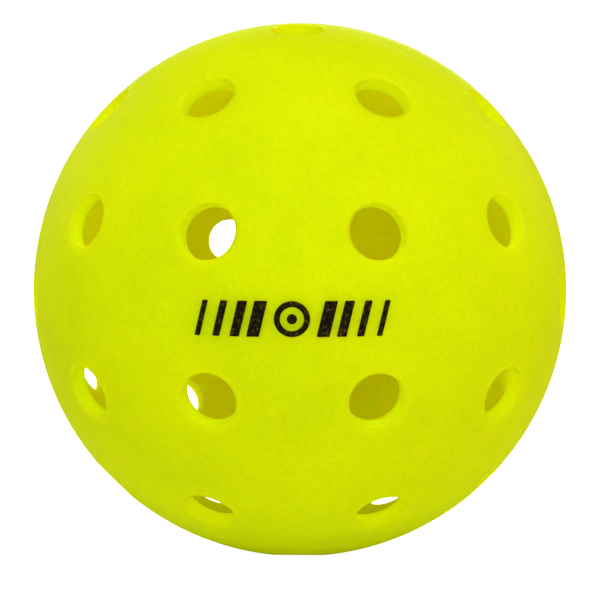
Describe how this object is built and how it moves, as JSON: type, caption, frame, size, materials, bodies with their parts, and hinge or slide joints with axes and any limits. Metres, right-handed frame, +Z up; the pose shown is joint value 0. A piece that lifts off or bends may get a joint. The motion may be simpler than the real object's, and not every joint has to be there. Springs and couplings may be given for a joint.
{
  "type": "pickleball ball",
  "caption": "Hollow perforated plastic ball made of two moulded half shells welded at the equator, with round air holes and a small printed mark.",
  "frame": {"origin": "centre of the ball", "axes": "+Y from the front half's pole, which carries the printed mark and faces -Y, to the rear half's pole; +Z up; the seam lies in the plane y = 0"},
  "size_m": [0.074, 0.074, 0.074],
  "materials": {
    "shell_plastic": "satin",
    "weld_plastic": "satin",
    "mark_ink": "matt ink"
  },
  "bodies": {
    "root": {"front_half_shell": "shell_plastic", "rear_half_shell": "shell_plastic", "seam_weld": "weld_plastic", "printed_mark": "mark_ink"}
  },
  "joints": []
}
